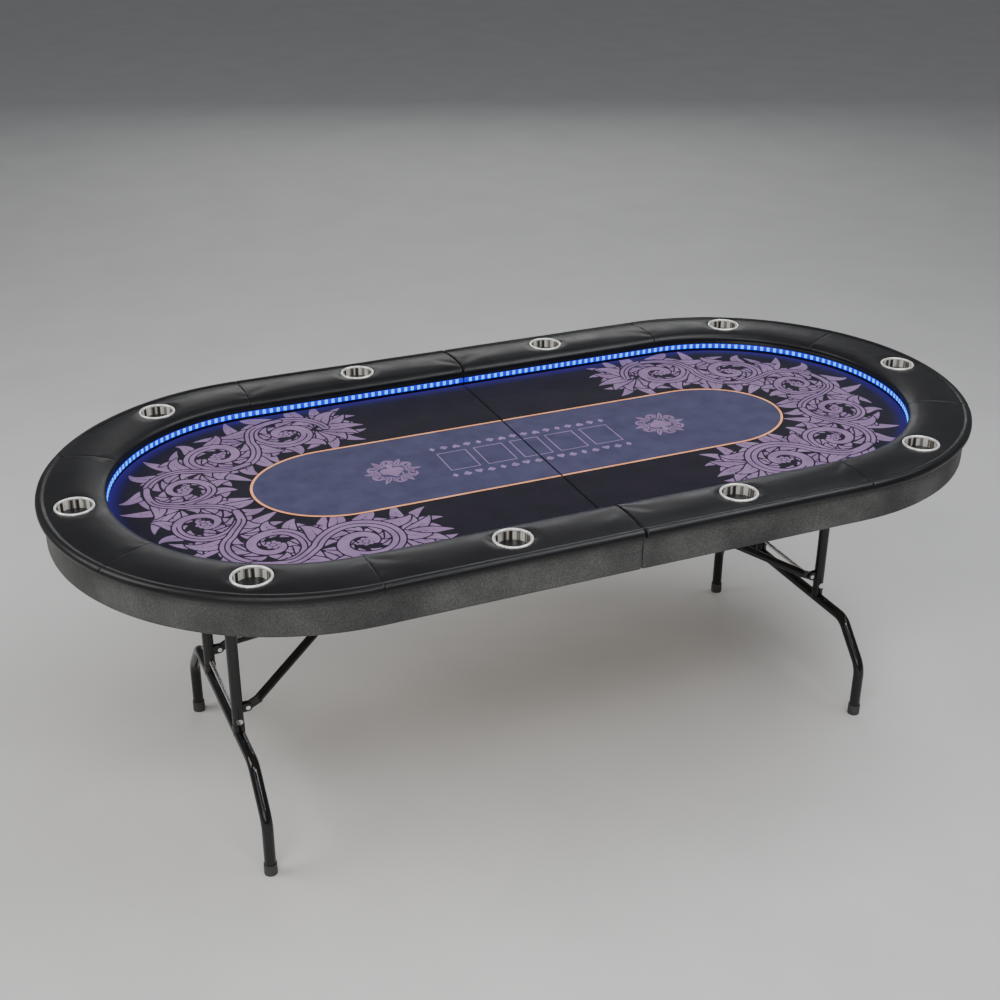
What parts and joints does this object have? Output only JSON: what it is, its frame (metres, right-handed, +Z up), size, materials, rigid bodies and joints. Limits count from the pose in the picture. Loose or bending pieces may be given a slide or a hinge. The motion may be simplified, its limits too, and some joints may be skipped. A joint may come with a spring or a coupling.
{
  "type": "poker table",
  "caption": "Folding oval poker table with padded rail, steel cup holders, printed cloth, light strip and two folding tube legs.",
  "frame": {"origin": "on the floor under the middle of the table", "axes": "+X along the table's length, +Y across it, +Z up"},
  "size_m": [2.134, 1.067, 0.762],
  "materials": {
    "rail_leather": "smooth satin",
    "apron_vinyl": "fine grained, matt",
    "plywood": "sanded",
    "foam_grey": "closed cell foam",
    "felt_print": "printed speed cloth",
    "cup_steel": "bright",
    "light_blue": "lit, silicone",
    "black_tube": "gloss powder coat",
    "zinc": "bright zinc",
    "foot_grey": "moulded, matt",
    "controller_black": "moulded"
  },
  "bodies": {
    "left_half": {"board_left": "plywood", "foam_left": "foam_grey", "felt_left": "felt_print", "rail_base_left": "plywood", "apron_left": "apron_vinyl", "fold_batten_left": "plywood", "pad_left_front": "rail_leather", "pad_left_front_corner": "rail_leather", "pad_left_end": "rail_leather", "pad_left_back_corner": "rail_leather", "pad_left_back": "rail_leather", "cup_left_front": "cup_steel", "cup_left_front_corner": "cup_steel", "cup_left_end": "cup_steel", "cup_left_back_corner": "cup_steel", "cup_left_back": "cup_steel", "light_strip_left": "light_blue", "fold_hinge_leaves_left": "zinc", "pivot_brackets_left": "black_tube", "link_bracket_left": "black_tube", "bracket_screws_left": "zinc", "light_controller": "controller_black", "power_inlet": "zinc", "fold_hinge_pins": "zinc"},
    "right_half": {"board_right": "plywood", "foam_right": "foam_grey", "felt_right": "felt_print", "rail_base_right": "plywood", "apron_right": "apron_vinyl", "fold_batten_right": "plywood", "pad_right_front": "rail_leather", "pad_right_front_corner": "rail_leather", "pad_right_end": "rail_leather", "pad_right_back_corner": "rail_leather", "pad_right_back": "rail_leather", "cup_right_front": "cup_steel", "cup_right_front_corner": "cup_steel", "cup_right_end": "cup_steel", "cup_right_back_corner": "cup_steel", "cup_right_back": "cup_steel", "light_strip_right": "light_blue", "fold_hinge_leaves_right": "zinc", "pivot_brackets_right": "black_tube", "link_bracket_right": "black_tube", "bracket_screws_right": "zinc"},
    "left_leg": {"leg_frame_left": "black_tube", "leg_rivets_left": "zinc", "foot_arch_left": "black_tube", "foot_caps_left": "foot_grey"},
    "left_brace": {"brace_arms_left": "black_tube"},
    "left_link": {"upper_link_left": "black_tube"},
    "left_ring": {"lock_ring_left": "zinc"},
    "right_leg": {"leg_frame_right": "black_tube", "leg_rivets_right": "zinc", "foot_arch_right": "black_tube", "foot_caps_right": "foot_grey"},
    "right_brace": {"brace_arms_right": "black_tube"},
    "right_link": {"upper_link_right": "black_tube"},
    "right_ring": {"lock_ring_right": "zinc"}
  },
  "joints": [
    {"name": "table_fold", "type": "hinge", "parent": "left_half", "child": "right_half", "pos_m": [0, 0, 0.6628], "axis": [0, 1, 0], "range_deg": [0, 90]},
    {"name": "left_leg_fold", "type": "hinge", "parent": "left_half", "child": "left_leg", "pos_m": [-0.735, 0, 0.666], "axis": [0, -1, 0], "range_deg": [0, 90]},
    {"name": "left_brace_fold", "type": "hinge", "parent": "left_leg", "child": "left_brace", "pos_m": [-0.712, 0, 0.2866], "axis": [0, 1, 0], "range_deg": [0, 115.24]},
    {"name": "left_link_fold", "type": "hinge", "parent": "left_half", "child": "left_link", "pos_m": [-0.37996, 0, 0.688], "axis": [0, -1, 0], "range_deg": [0, 106.82]},
    {"name": "left_ring_slide", "type": "slide", "parent": "left_link", "child": "left_ring", "axis": [0.2859, 0, 0.9583], "range_m": [0, 0.12]},
    {"name": "right_leg_fold", "type": "hinge", "parent": "right_half", "child": "right_leg", "pos_m": [0.735, 0, 0.666], "axis": [0, 1, 0], "range_deg": [0, 90]},
    {"name": "right_brace_fold", "type": "hinge", "parent": "right_leg", "child": "right_brace", "pos_m": [0.712, 0, 0.2866], "axis": [0, -1, 0], "range_deg": [0, 115.24]},
    {"name": "right_link_fold", "type": "hinge", "parent": "right_half", "child": "right_link", "pos_m": [0.37996, 0, 0.688], "axis": [0, 1, 0], "range_deg": [0, 106.82]},
    {"name": "right_ring_slide", "type": "slide", "parent": "right_link", "child": "right_ring", "axis": [-0.2859, 0, 0.9583], "range_m": [0, 0.12]}
  ],
  "couplings": [
    {"joint": "left_brace_fold", "follows": "left_leg_fold", "ratio": 1.2804},
    {"joint": "left_link_fold", "follows": "left_leg_fold", "ratio": 1.1867},
    {"joint": "right_brace_fold", "follows": "right_leg_fold", "ratio": 1.2804},
    {"joint": "right_link_fold", "follows": "right_leg_fold", "ratio": 1.1867}
  ]
}
